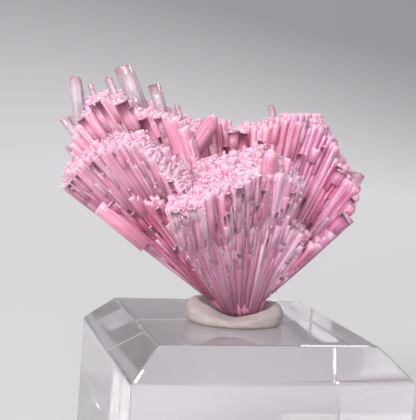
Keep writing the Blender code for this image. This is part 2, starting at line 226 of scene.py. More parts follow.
def putty_material():
    material, node, output = new_material("grey mineral tack")
    place = node("TexCoord").outputs["Object"]
    cloud = node("TexNoise", Vector=place, Scale=900.0, Detail=4.0)
    body = node("MixRGB", {"blend_type": "MIX"}, Fac=cloud.outputs["Fac"],
                Color1=(*[c * 0.86 for c in PUTTY], 1.0), Color2=(*[min(c * 1.16, 1) for c in PUTTY], 1.0))
    spots = node("TexVoronoi", Vector=place, Scale=2300.0)
    dark = node("MapRange", Value=spots.outputs["Distance"], From_Min=0.16, From_Max=0.08, To_Max=0.75)
    speckled = node("MixRGB", Fac=dark.outputs[0], Color1=body.outputs[0], Color2=(0.10, 0.08, 0.07, 1.0))
    height = node("SeparateXYZ", Vector=place)
    ragged = node("TexNoise", Vector=place, Scale=1700.0, Detail=3.0)
    wander = node("Math", {"operation": "MULTIPLY_ADD"}, _0=ragged.outputs["Fac"], _1=-0.0007,
                  _2=height.outputs["Z"])
    top_of_block = (FOOT.z + BLOCK_TOP) * MM
    line = node("MapRange", Value=wander.outputs[0], From_Min=top_of_block + 0.0001,
                From_Max=top_of_block - 0.0003, To_Max=0.6)
    dirty = node("MixRGB", Fac=line.outputs[0], Color1=speckled.outputs[0], Color2=(*PUTTY_DIRT, 1.0))
    pits = node("TexNoise", Vector=place, Scale=4200.0, Detail=5.0, Roughness=0.65)
    bump = node("Bump", Strength=0.55, Distance=0.0001, Height=pits.outputs["Fac"])
    shader = node("BsdfPrincipled", Base_Color=dirty.outputs[0], Roughness=0.78, IOR=1.46,
                  Normal=bump.outputs[0])
    plug(material, shader.outputs[0], output.inputs["Surface"])
    return material


putty = putty_surface()
pad = new_piece("putty_pad", to_block(closed(putty)), grid_faces(*putty.shape[:2]),
                putty_material())
pad.data.shade_smooth()
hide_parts("mineral_tack")

# Base of the spray. In the real piece all the crystals grow out of one foot, a knot of fine
# needles that has been broken away from its matrix. Its skin is ribbed by the needles that
# start there, and the rest of its underside is buried in the putty.
BASE_RINGS = ((0.3, 0.1), (0.9, 0.2), (1.9, 0.5), (2.8, 1.2), (3.3, 2.1), (3.1, 3.2), (1.9, 5.0))
BASE_DEPTH_RATIO = 0.55
BASE_LEAN = -0.28
BODY_PINK = (0.70, 0.215, 0.36)
# Deep rose stands partly for the crystals' own deeper tone and partly for painted shade in the hollows and
# on the shaded right side.
DEEP_ROSE_AND_SHADE = (0.47, 0.065, 0.155)
VIOLET = (0.56, 0.19, 0.40)
ROSY = (0.90, 0.36, 0.50)
FROST = (0.94, 0.64, 0.78)
TOURMALINE_IOR = 1.63
TOURMALINE_ROUGHNESS = 0.15
FROSTED_ROUGHNESS = 0.55
BASE_ZONE = (0.2, 0.35, 0.0, 0.0)


def tourmaline_material():
    """Pink tourmaline: streaked along each crystal, frosted near its tip, tinted by zone.

    The UV map runs across a crystal and down from its tip, in millimetres. The zone attribute
    holds how pale, how deep a rose, how violet and how warm a crystal is; the deep rose is partly
    its own tone and partly painted shade, heavy in the hollows and on the shaded right side.
    """
    material, node, output = new_material("pink tourmaline")
    across_and_down = node("UVMap", {"uv_map": "across and down"}).outputs[0]
    zone = node("Attribute", {"attribute_name": "zone"})
    pale, deep, violet = node("SeparateColor", Color=zone.outputs["Color"]).outputs
    warmth = zone.outputs["Alpha"]
    down = node("SeparateXYZ", Vector=across_and_down).outputs["Y"]
    place = node("TexCoord").outputs["Object"]
    drawn = node("Mapping", Vector=across_and_down, Scale=(4.2, 0.16, 1.0))
    streaks = node("TexNoise", Vector=drawn.outputs[0], Scale=1.0, Detail=4.0, Roughness=0.6)
    fine = node("Mapping", Vector=across_and_down, Scale=(15.0, 0.5, 1.0))
    ridges = node("TexNoise", Vector=fine.outputs[0], Scale=1.0, Detail=2.0)
    cloud = node("TexNoise", Vector=place, Scale=420.0, Detail=3.0)
    sugar = node("TexNoise", Vector=place, Scale=3600.0, Detail=3.0)

    # Deep rose, streaked along each crystal: partly its own deeper tone, partly painted shade where a fan
    # lies in a hollow or on the shaded right side.
    deep_tone_and_shade = node("MapRange", Value=streaks.outputs["Fac"], From_Min=0.36, From_Max=0.66,
                    To_Min=0.35, To_Max=1.25)
    depth = node("Math", {"operation": "MULTIPLY", "use_clamp": True}, _0=deep, _1=deep_tone_and_shade.outputs[0])
    hue = node("MixRGB", Fac=violet, Color1=(*BODY_PINK, 1.0), Color2=(*VIOLET, 1.0))
    patchy = node("MapRange", Value=cloud.outputs["Fac"], From_Min=0.38, From_Max=0.62, To_Min=0.5,
                  To_Max=1.3)
    warm = node("Math", {"operation": "MULTIPLY", "use_clamp": True}, _0=warmth, _1=patchy.outputs[0])
    warmed = node("MixRGB", Fac=warm.outputs[0], Color1=hue.outputs[0], Color2=(*ROSY, 1.0))
    body = node("MixRGB", Fac=depth.outputs[0], Color1=warmed.outputs[0], Color2=(*DEEP_ROSE_AND_SHADE, 1.0))

    near_tip = node("MapRange", Value=down, From_Min=1.5, From_Max=0.0)
    ragged = node("MapRange", Value=sugar.outputs["Fac"], From_Min=0.35, From_Max=0.65, To_Min=-0.4,
                  To_Max=0.4)
    tip_frost = node("Math", {"operation": "ADD", "use_clamp": True}, _0=near_tip.outputs[0],
                     _1=ragged.outputs[0])
    white_lines = node("MapRange", Value=streaks.outputs["Fac"], From_Min=0.58, From_Max=0.40,
                       To_Min=0.25, To_Max=1.0)
    side_frost = node("Math", {"operation": "MULTIPLY"}, _0=pale, _1=white_lines.outputs[0])
    tip_share = node("Math", {"operation": "MULTIPLY"}, _0=near_tip.outputs[0], _1=tip_frost.outputs[0])
    tip_part = node("Math", {"operation": "MULTIPLY"}, _0=tip_share.outputs[0], _1=0.75)
    frost = node("Math", {"operation": "MAXIMUM", "use_clamp": True}, _0=side_frost.outputs[0],
                 _1=tip_part.outputs[0])
    colour = node("MixRGB", Fac=frost.outputs[0], Color1=body.outputs[0], Color2=(*FROST, 1.0))
    rough = node("MapRange", Value=frost.outputs[0], To_Min=TOURMALINE_ROUGHNESS,
                 To_Max=FROSTED_ROUGHNESS)

    height = node("Math", {"operation": "MULTIPLY_ADD"}, _0=ridges.outputs["Fac"], _1=0.35,
                  _2=streaks.outputs["Fac"])
    rounded = node("Math", {"operation": "MULTIPLY_ADD"}, _0=sugar.outputs["Fac"], _1=0.18,
                   _2=height.outputs[0])
    bump = node("Bump", Strength=0.7, Distance=0.00012, Height=rounded.outputs[0])
    shader = node("BsdfPrincipled", Base_Color=colour.outputs[0], Roughness=rough.outputs[0],
                  IOR=TOURMALINE_IOR, Normal=bump.outputs[0], Subsurface_Weight=0.3,
                  Subsurface_Radius=(1.0, 0.4, 0.55), Subsurface_Scale=0.0008)
    plug(material, shader.outputs[0], output.inputs["Surface"])
    return material


def base_surface(rings=26, sides=132):
    """A bowl turned round an upright axis, narrowed in depth and leaned, ribbed by needles."""
    angle = np.linspace(0, math.tau, sides, endpoint=False)[None, :]
    share = np.linspace(0, len(BASE_RINGS) - 1, rings)
    radius = np.interp(share, np.arange(len(BASE_RINGS)), [r for r, _ in BASE_RINGS])[:, None]
    height = np.interp(share, np.arange(len(BASE_RINGS)), [h for _, h in BASE_RINGS])[:, None]
    ribs = 1 + 0.03 * np.cos(33 * angle) + 0.03 * np.cos(21 * angle + 1)
    x = radius * ribs * np.cos(angle) + BASE_LEAN * height
    y = radius * ribs * np.sin(angle) * BASE_DEPTH_RATIO
    return np.stack([x, y, height + 0 * angle], -1)


pink = tourmaline_material()
base = base_surface()
base_quads, base_tris = grid_faces(*base.shape[:2])
base_points = closed(base)
base_corners = np.concatenate([base_quads.ravel(), base_tris.ravel()])
base_uv = np.stack([base_points[base_corners, 0] * 1.5, 20 - base_points[base_corners, 2]], -1)
base_zone = np.broadcast_to(BASE_ZONE, (len(base_points), 4))
base_piece = new_piece("spray_base", to_block(base_points), (base_quads, base_tris), pink,
                       base_uv, base_zone)
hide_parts("tourmaline_cluster")

# Sprays. Each is a sheaf of slender crystals that fans out from the foot to a curved rim.
# Real ones are three-sided or six-sided prisms with rounded faces, ruled lengthwise, that
# start and stop at different places, so their sides are stepped and their tops are ragged.
ROUNDED_TRIANGLE = (np.arange(9) * math.tau / 9, 1 + 0.09 * np.cos(np.arange(9) * math.tau / 3))
STATIONS = np.array([0.0, 0.5, 0.985, 1.0])
LOWEST_STEP = 0.35

# A fan's front and back rims and its root line run from left to right. Its crystals stand in
# columns across and rows deep, and the front rows, the broken share of them, begin only at
# starts, a share of their length. The next values tint them, and sugar is grains to each. The
# share of deep rose is partly the crystals' own deeper tone and partly painted shade: it is set
# high for the low left fan, the back wall of the hollow and the shaded right fan.
BROKEN_LEFT = {
    "front": ((-21.2, -3.0, 14.3), (-20.4, -4.0, 15.6), (-19.0, -5.0, 17.0), (-17.0, -6.0, 18.7),
              (-14.8, -6.5, 19.9), (-12.6, -7.0, 19.6), (-10.8, -7.5, 18.3), (-9.3, -8.0, 16.7),
              (-7.5, -8.0, 15.1)),
    "back": ((-21.4, 1.0, 14.9), (-20.9, 0.5, 16.3), (-20.0, -1.0, 17.7), (-18.1, -2.0, 19.7),
             (-15.5, -2.5, 20.7), (-12.4, -3.0, 21.1), (-10.0, -4.0, 19.3), (-7.6, -4.0, 17.7),
             (-6.9, -5.0, 16.4)),
    "roots": ((-3.1, -0.6, 1.7), (-2.4, -1.0, 1.3)), "root_depth": 1.5,
    "starts": (0.76, 0.61, 0.64, 0.76), "broken": 0.45, "across": 44, "deep": 8, "bundle": (5, 3),
    "ragged": 0.022, "overlap": 0.95, "pale": 0.30, "deep_tone_and_shade": 0.36, "violet": 0.15, "warm": 0.2,
    "sugar": 5.0, "shingles": 90,
}
LOW_LEFT = {
    "front": ((-17.2, -2.8, 11.8), (-15.5, -3.8, 13.6), (-12.6, -5.2, 14.0), (-9.8, -6.2, 13.8)),
    "back": ((-19.0, 3.0, 13.6), (-17.0, 3.0, 15.5), (-13.0, 1.0, 16.5), (-9.0, -1.0, 16.0)),
    "roots": ((-3.5, -0.5, 2.0), (-2.4, -0.9, 1.3)), "root_depth": 1.4,
    "starts": (0.0, 0.0), "broken": 0.0, "across": 22, "deep": 8, "bundle": (3, 2), "ragged": 0.03,
    "overlap": 0.9, "pale": 0.15, "deep_tone_and_shade": 0.85, "violet": 0.2, "warm": 0.0, "sugar": 0.6,
    "shingles": 50,
}
TALL_LEFT = {
    "front": ((-20.6, -0.5, 17.8), (-20.2, -0.5, 22.2), (-19.2, -0.5, 24.1), (-17.4, -0.5, 24.7),
              (-15.6, -1.0, 24.5), (-13.8, -1.5, 23.5), (-12.1, -1.5, 23.2), (-10.3, -1.5, 22.8),
              (-8.6, -1.5, 21.9), (-7.3, -2.0, 20.3)),
    "back": ((-21.0, 6.0, 16.5), (-21.0, 7.0, 21.0), (-20.0, 8.0, 24.0), (-18.4, 8.5, 25.1),
             (-16.5, 8.5, 25.1), (-14.0, 8.5, 24.6), (-12.1, 8.5, 23.9), (-10.3, 8.5, 23.6),
             (-8.4, 8.5, 23.0), (-6.5, 8.0, 22.4)),
    "roots": ((-2.6, 0.4, 1.9), (-1.0, 0.4, 1.4)), "root_depth": 1.3,
    "starts": (0.0, 0.0), "broken": 0.0, "across": 38, "deep": 14, "bundle": (4, 4), "ragged": 0.014,
    "overlap": 0.92, "pale": 0.32, "deep_tone_and_shade": 0.25, "violet": 0.0, "warm": 0.65, "sugar": 4.0,
    "shingles": 90,
}
CENTRE = {
    "front": ((-9.2, -4.8, 10.8), (-8.0, -6.5, 13.0), (-5.1, -8.5, 14.4), (-3.3, -9.4, 15.4),
              (-1.5, -9.4, 16.7), (0.4, -8.4, 17.8), (2.6, -7.4, 17.5), (4.6, -6.4, 17.1),
              (5.6, -5.0, 16.5)),
    "back": ((-8.9, -3.0, 14.2), (-7.1, -2.0, 17.7), (-5.5, -1.0, 18.5), (-3.2, -1.0, 19.1),
             (-1.0, -1.0, 19.8), (0.5, -1.0, 20.1), (2.4, -2.0, 19.6), (4.3, -1.0, 18.0),
             (5.9, -1.0, 16.8)),
    "roots": ((-2.0, -1.3, 1.0), (1.8, -1.2, 1.1)), "root_depth": 1.4,
    "starts": (0.0, 0.0), "broken": 0.0, "across": 36, "deep": 12, "bundle": (3, 3), "ragged": 0.018,
    "overlap": 0.76, "pale": 0.38, "deep_tone_and_shade": 0.3, "violet": 0.3, "warm": 0.0, "sugar": 7.0,
    "shingles": 110,
}
NOSE = {
    "front": ((-8.8, -9.6, 13.2), (-7.2, -10.6, 14.0), (-5.0, -10.6, 14.4)),
    "back": ((-8.8, -6.5, 14.4), (-6.8, -6.0, 15.2), (-4.6, -6.0, 15.6)),
    "roots": ((-4.6, -3.0, 0.6), (-2.6, -3.0, 0.6)), "root_depth": 1.0,
    "starts": (0.62, 0.66), "broken": 1.0, "across": 7, "deep": 6, "bundle": (2, 2), "ragged": 0.03,
    "overlap": 0.85, "pale": 0.75, "deep_tone_and_shade": 0.05, "violet": 0.0, "warm": 0.35, "sugar": 22.0,
    "shingles": 24,
}
BACK_WALL = {
    "front": ((-7.4, 1.5, 20.7), (-5.8, 2.5, 21.9), (-3.8, 3.5, 22.2), (-1.6, 3.5, 21.9),
              (0.5, 3.5, 22.1), (2.5, 3.5, 23.0), (4.4, 3.5, 23.6)),
    "back": ((-7.1, 8.5, 22.6), (-5.0, 9.0, 22.3), (-1.5, 9.0, 22.2), (0.7, 9.0, 22.4),
             (2.7, 9.0, 23.4), (5.0, 9.0, 24.1)),
    "roots": ((-1.4, 0.4, 1.4), (1.2, 0.4, 1.4)), "root_depth": 1.3,
    "starts": (0.0, 0.0), "broken": 0.0, "across": 18, "deep": 8, "bundle": (2, 3), "ragged": 0.02,
    "overlap": 0.75, "pale": 0.15, "deep_tone_and_shade": 0.6, "violet": 0.0, "warm": 0.6, "sugar": 5.0,
    "shingles": 40,
}
RIGHT = {
    "front": ((4.6, 2.5, 23.6), (6.3, 2.5, 23.6), (8.1, 2.5, 22.5), (9.2, 2.0, 20.9),
              (10.2, 1.5, 19.0), (11.4, 1.5, 17.2), (12.3, 0.5, 16.2), (12.1, -0.5, 14.8),
              (11.2, -1.5, 12.9), (9.6, -2.5, 11.0), (7.0, -2.8, 9.3)),
    "back": ((4.9, 8.0, 24.2), (6.4, 9.0, 24.4), (8.1, 9.0, 24.2), (9.1, 9.0, 22.9),
             (10.6, 9.0, 20.2), (11.8, 8.0, 18.0), (12.7, 8.0, 16.8), (13.0, 7.0, 15.7),
             (12.1, 5.0, 13.6), (10.2, 4.0, 11.0), (7.6, 3.0, 9.3)),
    "roots": ((1.4, 0.2, 1.5), (2.2, 0.0, 2.0)), "root_depth": 1.3,
    "starts": (0.0, 0.0), "broken": 0.0, "across": 27, "deep": 9, "bundle": (2, 2), "ragged": 0.025,
    "overlap": 0.66, "pale": 0.2, "deep_tone_and_shade": 0.5, "violet": 0.8, "warm": 0.0, "sugar": 1.6,
    "shingles": 70,
}
LOW_RIGHT = {
    "front": ((2.6, -5.2, 12.6), (4.4, -4.4, 12.2), (6.0, -3.2, 10.6), (6.4, -2.0, 8.4),
              (5.6, -1.0, 6.6)),
    "back": ((3.5, -2.0, 13.0), (6.0, -1.0, 12.2), (7.4, 0.0, 10.6), (7.2, 1.0, 8.8),
             (6.0, 2.0, 7.0)),
    "roots": ((0.9, -1.2, 1.3), (1.9, -0.2, 1.9)), "root_depth": 1.0,
    "starts": (0.0, 0.0), "broken": 0.0, "across": 14, "deep": 5, "bundle": (2, 2), "ragged": 0.03,
    "overlap": 0.74, "pale": 0.5, "deep_tone_and_shade": 0.15, "violet": 0.3, "warm": 0.1, "sugar": 1.0,
    "shingles": 30,
}
BACK_LEDGE = {
    "front": ((-14.0, 6.5, 17.5), (-8.5, 8.0, 19.5), (-3.0, 8.5, 18.8), (2.5, 8.0, 16.5)),
    "back": ((-14.0, 8.5, 16.5), (-8.5, 10.0, 18.3), (-3.0, 10.4, 17.6), (2.5, 10.0, 15.4)),
    "roots": ((-1.4, 1.6, 1.6), (0.8, 1.6, 1.6)), "root_depth": 0.6,
    "starts": (0.62, 0.5, 0.45, 0.58), "broken": 1.0, "across": 22, "deep": 3, "bundle": (3, 1),
    "ragged": 0.03, "overlap": 0.75, "pale": 0.3, "deep_tone_and_shade": 0.3, "violet": 0.2, "warm": 0.2, "sugar": 1.5,
    "shingles": 30,
}


def along(points, share):
    """Places on a line through the points, where share runs evenly from point to point."""
    points = np.asarray(points, float)
    at = np.clip(share, 0, 1) * (len(points) - 1)
    before = np.minimum(at.astype(int), len(points) - 2)
    rest = (at - before).reshape(at.shape + (1,) * (points.ndim - 1))
    return points[before] * (1 - rest) + points[before + 1] * rest


def prisms(foot, tip, radius, stations, section, spin, slope, peak):
    """Straight prisms, one for each foot and tip, as one set of arrays.

    The ring at station s has its middle at foot + s (tip - foot). Its corners lie round that
    middle at the section's angles plus spin, at the radius there times the section's reach. The
    last ring falls by slope across its width. A middle point closes each end, and the
    far one stands peak above its ring. Returns points, quads, triangles and UVs in millimetres,
    across the faces and down from the tip.
    """
    angles, reach = section
    count, rings, sides = len(foot), len(stations), len(angles)
    line = tip - foot
    length = np.linalg.norm(line, axis=1)
    axis = line / length[:, None]
    aside = np.cross(axis, (0.0, 1.0, 0.0))
    aside /= np.linalg.norm(aside, axis=1)[:, None]
    toward = np.cross(axis, aside)
    turned = angles[None] + spin[:, None]
    out = (np.cos(turned)[..., None] * aside[:, None] + np.sin(turned)[..., None] * toward[:, None])
    out *= reach[None, :, None]
    middle = foot[:, None] + line[:, None] * stations[None, :, None]
    ring = middle[:, :, None] + radius[:, :, None, None] * out[:, None]
    fall = slope[:, None] * (1 + np.cos(angles)[None]) * radius[:, -1:]
    ring[:, -1] -= fall[..., None] * axis[:, None]
    top = ring[:, -1].mean(1) + axis * peak[:, None]
    points = np.concatenate([ring.reshape(count, -1, 3), foot[:, None], top[:, None]], 1)
    quads, caps = grid_faces(rings, sides)
    shift = (np.arange(count) * points.shape[1])[:, None, None]
    girth = np.concatenate([[0], np.cumsum(np.full(sides, math.tau / sides))])
    offset = spin * 37.0
    column = np.arange(sides)
    u = np.stack([girth[column], girth[column + 1], girth[column + 1], girth[column]], -1)
    u = u[None, None] * radius.mean(1)[:, None, None, None] + offset[:, None, None, None]
    v = (1 - stations)[None, :] * length[:, None]
    low, high = v[:, :-1, None], v[:, 1:, None]
    v = np.broadcast_to(np.stack([low, low, high, high], -1), (count, rings - 1, sides, 4))
    quad_uv = np.stack([np.broadcast_to(u, v.shape), v], -1).reshape(-1, 2)
    flat = np.stack([0.5 + 0 * column, np.cos(angles), np.cos(np.roll(angles, -1))], -1)
    cap_u = np.concatenate([flat, flat])[None] * radius[:, -1, None, None] + offset[:, None, None]
    cap_v = np.concatenate([np.ones(sides), np.zeros(sides)])[None, :, None] * length[:, None, None]
    cap_uv = np.stack([cap_u, np.broadcast_to(cap_v, cap_u.shape)], -1).reshape(-1, 2)
    return (points.reshape(-1, 3), (quads[None] + shift).reshape(-1, 4),
            (caps[None] + shift).reshape(-1, 3), quad_uv, cap_uv)


def sheaf(fan, chance):
    """Every crystal of a fan: foot, tip, radii and zone.

    Crystals stand in rows, evenly and then jittered. Neighbours form bundles, which end and
    start together and share a tint, so the fan has flat-topped blocks and steps.
    """
    row, column = np.meshgrid(np.arange(fan["deep"]), np.arange(fan["across"]), indexing="ij")
    row, column = row.ravel(), column.ravel()
    count = len(row)
    wide_bundle, deep_bundle = fan["bundle"]
    bundles = (fan["deep"] // deep_bundle + 1, (fan["across"] + fan["deep"]) // wide_bundle + 1)
    of_bundle = (row // deep_bundle, (column + row // deep_bundle) // wide_bundle)
    shared = chance.normal(0, 1, (4, *bundles))[(slice(None), *of_bundle)]
    own = chance.normal(0, 1, (4, count))
    depth = (row + 0.5 + chance.uniform(-0.25, 0.25, count)) / fan["deep"]
    side = (column + 0.25 + 0.5 * (row % 2) + chance.uniform(-0.3, 0.3, count)) / fan["across"]
    side = side.clip(0, 1)
    rim = along(fan["front"], side) * (1 - depth)[:, None] + along(fan["back"], side) * depth[:, None]
    root = along(fan["roots"], side) + depth[:, None] * (0.0, fan["root_depth"], 0.0)
    change = (fan["ragged"] * (0.75 * shared[0] + 0.45 * own[0])).clip(-0.07, 0.035)
    tip = rim + (rim - root) * change[:, None]
    start = np.where(depth < fan["broken"], along(fan["starts"], side), 0.0)
    start = np.where(start > 0, start + 0.035 * shared[1] + 0.012 * own[1], -0.03)
    wide = rim_spacing(fan) * fan["overlap"] * np.exp(0.28 * own[2])
    narrow = 0.16 + (wide - 0.16) * np.maximum(start, 0)
    half_way = (narrow * 0.45 + wide * 0.55) * chance.uniform(0.9, 1.12, count)
    radius = np.stack([narrow, half_way, wide, wide * 0.88], 1)
    # The second channel, deep rose, is partly the crystal's own tone and partly painted shade.
    zone = np.stack([fan["pale"] * np.exp(0.35 * shared[2] + 0.4 * own[3]),
                     fan["deep_tone_and_shade"] * np.exp(0.45 * shared[3] + 0.3 * own[1]),
                     fan["violet"] + 0.06 * shared[2],
                     fan["warm"] + 0.1 * shared[3]], 1).clip(0, 1)
    return root + (rim - root) * start[:, None], tip, radius, zone


def rim_spacing(fan):
    front = np.asarray(fan["front"])
    return np.linalg.norm(np.diff(front, axis=0), axis=1).sum() / fan["across"]


def shingles(fan, chance):
    """Short crystals that lie on a fan's front and back, as broken steps: as sheaf gives them."""
    count = fan["shingles"]
    side = chance.uniform(0.02, 0.98, count)
    behind = chance.random(count) < 0.4
    depth = np.where(behind, 1.0, 0.0)
    rim = np.where(behind[:, None], along(fan["back"], side), along(fan["front"], side))
    root = along(fan["roots"], side) + depth[:, None] * (0.0, fan["root_depth"], 0.0)
    lowest = np.where((fan["broken"] > 0) & ~behind, along(fan["starts"], side) + 0.03, LOWEST_STEP)
    start = lowest + (0.9 - lowest) * chance.random(count)
    stop = np.minimum(start + chance.uniform(0.06, 0.3, count), 0.99)
    wide = rim_spacing(fan) * fan["overlap"] * np.exp(chance.normal(-0.1, 0.25, count))
    radius = 0.16 + (wide - 0.16)[:, None] * np.stack([start, (start + stop) / 2, stop, stop], 1)
    out = np.where(behind, 0.25, -0.25)[:, None] * radius[:, :1] * (0.0, 1.0, 0.0)
    zone = np.stack([fan["pale"] * np.exp(chance.normal(0.3, 0.4, count)),
                     fan["deep_tone_and_shade"] * np.exp(chance.normal(-0.2, 0.5, count)),
                     np.full(count, fan["violet"]), np.full(count, fan["warm"])], 1).clip(0, 1)
    foot = root + (rim - root) * start[:, None] + out
    tip = root + (rim - root) * stop[:, None] + out
    return foot, tip, radius, zone


def crystal_piece(name, groups, material):
    """One piece from several sets of prisms, each a (prisms result, zone of each prism)."""
    shift = 0
    parts = {"points": [], "quads": [], "caps": [], "quad_uv": [], "cap_uv": [], "zones": []}
    for (points, quads, caps, quad_uv, cap_uv), zone in groups:
        for key, value in (("points", points), ("quads", quads + shift), ("caps", caps + shift),
                           ("quad_uv", quad_uv), ("cap_uv", cap_uv),
                           ("zones", np.repeat(zone, len(points) // len(zone), axis=0))):
            parts[key].append(value)
        shift += len(points)
    whole = {key: np.concatenate(value) for key, value in parts.items()}
    piece = new_piece(name, to_block(whole["points"]), (whole["quads"], whole["caps"]), material,
                      np.concatenate([whole["quad_uv"], whole["cap_uv"]]),
                      whole["zones"])
    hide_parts("tourmaline_cluster")
    return piece


def spray_piece(name, fans, seed):
    """All the crystals of some fans; returns the piece and where its sugar grows."""
    chance = np.random.default_rng(seed)
    rods = [sheaf(fan, chance) for fan in fans] + [shingles(fan, chance) for fan in fans]
    foot, tip, radius, zone = (np.concatenate(part) for part in zip(*rods))
    count = len(foot)
    made = prisms(foot, tip, radius, STATIONS, ROUNDED_TRIANGLE, chance.uniform(0, math.tau, count),
                  chance.uniform(0.0, 0.3, count), radius[:, -1] * chance.uniform(0.0, 0.25, count))
    sugar = np.concatenate([np.full(len(rod[0]), fan["sugar"]) for rod, fan in zip(rods, fans + fans)])
    return crystal_piece(name, [(made, zone)], pink), (foot, tip, radius[:, -1], zone, sugar)


left, left_sugar = spray_piece("left_spray", (BROKEN_LEFT, LOW_LEFT, TALL_LEFT), 11)
centre, centre_sugar = spray_piece("centre_spray", (CENTRE, NOSE, BACK_WALL, BACK_LEDGE), 12)
right, right_sugar = spray_piece("right_spray", (RIGHT, LOW_RIGHT), 13)

# Sugar. The tops of the sprays and the broken steps are crusted with small pale crystals, a
# fraction of a millimetre wide, which stand every way and catch the light as white grains.
PENTAGON = (np.arange(5) * math.tau / 5, np.ones(5))
GRAIN_STATIONS = np.array([0.0, 1.0])
GRAIN_RADIUS = 0.075
GRAIN_LENGTHS = (1.1, 2.6)
GRAINS = 1.4


def sugar_piece(name, sugar, seed):
    """Grains round the tips of the crystals, GRAINS times its fan's sugar to each.

    A grain's length is GRAIN_LENGTHS times its radius.
    """
    chance = np.random.default_rng(seed)
    foot, tip, radius, zone, amount = sugar
    pick = np.repeat(np.arange(len(tip)), chance.poisson(amount * GRAINS))
    count = len(pick)
    way = tip[pick] - foot[pick]
    way /= np.linalg.norm(way, axis=1)[:, None]
    scatter = chance.normal(0, 1, (count, 3))
    scatter -= way * (scatter * way).sum(1)[:, None] * 0.4
    down = np.where(chance.random(count) < 0.35, chance.exponential(1.2, count), radius[pick] * 0.3)
    place = tip[pick] + scatter * radius[pick, None] * 0.6 - way * down[:, None]
    lean = way + chance.normal(0, 0.45, (count, 3))
    lean /= np.linalg.norm(lean, axis=1)[:, None]
    wide = GRAIN_RADIUS * np.exp(chance.normal(0, 0.35, count))
    half = wide * chance.uniform(*GRAIN_LENGTHS, count) * 0.5
    grain_radius = wide[:, None] * (1.0, 0.85)
    made = prisms(place - lean * half[:, None], place + lean * half[:, None], grain_radius,
                  GRAIN_STATIONS, PENTAGON, chance.uniform(0, math.tau, count), np.zeros(count),
                  wide * 0.7)
    zones = zone[pick] * (1, 0.3, 0.7, 1)
    zones[:, 0] = chance.uniform(0.25, 1.0, count)
    return crystal_piece(name, [(made, zones)], pink)


left_grains = sugar_piece("left_sugar", left_sugar, 21)
centre_grains = sugar_piece("centre_sugar", centre_sugar, 22)
right_grains = sugar_piece("right_sugar", right_sugar, 23)

# Single crystals. A few prisms outgrow the rest. They are almost colourless and clear, with a
# pink cap, and thinner ones have grown along them, which gives their tips small steps.
HEXAGON = (np.arange(6) * math.tau / 6, np.ones(6))
EDGED_HEXAGON = (np.repeat(np.arange(6) * math.tau / 6, 2) + np.tile((-0.11, 0.11), 6),
                 np.repeat((1.0, 0.88, 1.0, 0.88, 1.0, 0.88), 2))
CLEAR_LILAC = (0.96, 0.84, 0.91)
CAP_PINK = (0.86, 0.46, 0.56)
CLEAR_TINT = (0.93, 0.66, 0.78)
TINT_DENSITY = 120.0
CRYSTAL_CLEARNESS = 0.6
CLEAR_ZONE = (0.5, 0.0, 0.3, 0.0)
STANDING_ZONE = (0.35, 0.3, 0.1, 0.1)
CLEAR_CRYSTALS = (
    ((-19.6, 0.0, 18.5), (-21.1, 0.0, 26.8), 0.78, "dome"),
    ((-19.6, 1.0, 18.6), (-22.3, 1.0, 21.9), 0.55, "flat"),
    ((-19.2, 1.6, 18.9), (-21.4, 1.6, 22.2), 0.55, "flat"),
    ((-20.2, 0.0, 17.0), (-21.6, 0.0, 18.7), 0.25, "point"),
    ((-18.6, 3.0, 23.4), (-19.6, 3.0, 26.0), 0.35, "flat"),
    ((-13.6, 3.0, 23.4), (-16.0, 3.0, 28.5), 1.05, "slope"),
    ((-15.9, 2.6, 23.6), (-17.6, 2.6, 27.1), 0.5, "point"),
    ((-10.6, 3.0, 22.4), (-12.2, 3.0, 26.6), 0.72, "slope"),
    ((-8.6, 4.0, 22.4), (-9.4, 4.0, 24.4), 0.35, "point"),
    ((2.8, 6.0, 22.0), (1.9, 6.0, 25.2), 0.45, "point"),
    ((10.6, 4.0, 13.8), (13.3, 5.0, 17.7), 0.8, "flat"),
    ((7.6, -0.4, 8.6), (11.7, 0.5, 12.9), 0.45, "flat"),
    ((6.2, -1.0, 7.4), (10.2, -0.5, 10.9), 0.5, "flat"),
)
PINK_CRYSTALS = (
    ((-8.6, 0.4, 16.4), (-4.7, 1.0, 23.4), 1.05, "point"),
    ((1.3, -6.0, 13.0), (1.6, -7.6, 20.2), 0.95, "dome"),
    ((3.2, -5.5, 14.0), (3.6, -6.0, 19.4), 0.45, "flat"),
    ((-11.4, -3.4, 8.3), (-17.0, -3.4, 12.4), 0.95, "flat"),
)
# An end's rings, as shares of its length and of the radius, then how far its middle stands
# up and how far its last ring slopes, both as shares of the radius.
END_SHAPES = {
    "flat": ((1.0,), (0.9,), 0.02, 0.05),
    "slope": ((1.0,), (0.92,), 0.02, 0.35),
    "point": ((1.0,), (0.35,), 0.1, 0.0),
    "dome": ((0.45, 0.75, 1.0), (0.93, 0.76, 0.42), 0.1, 0.0),
}


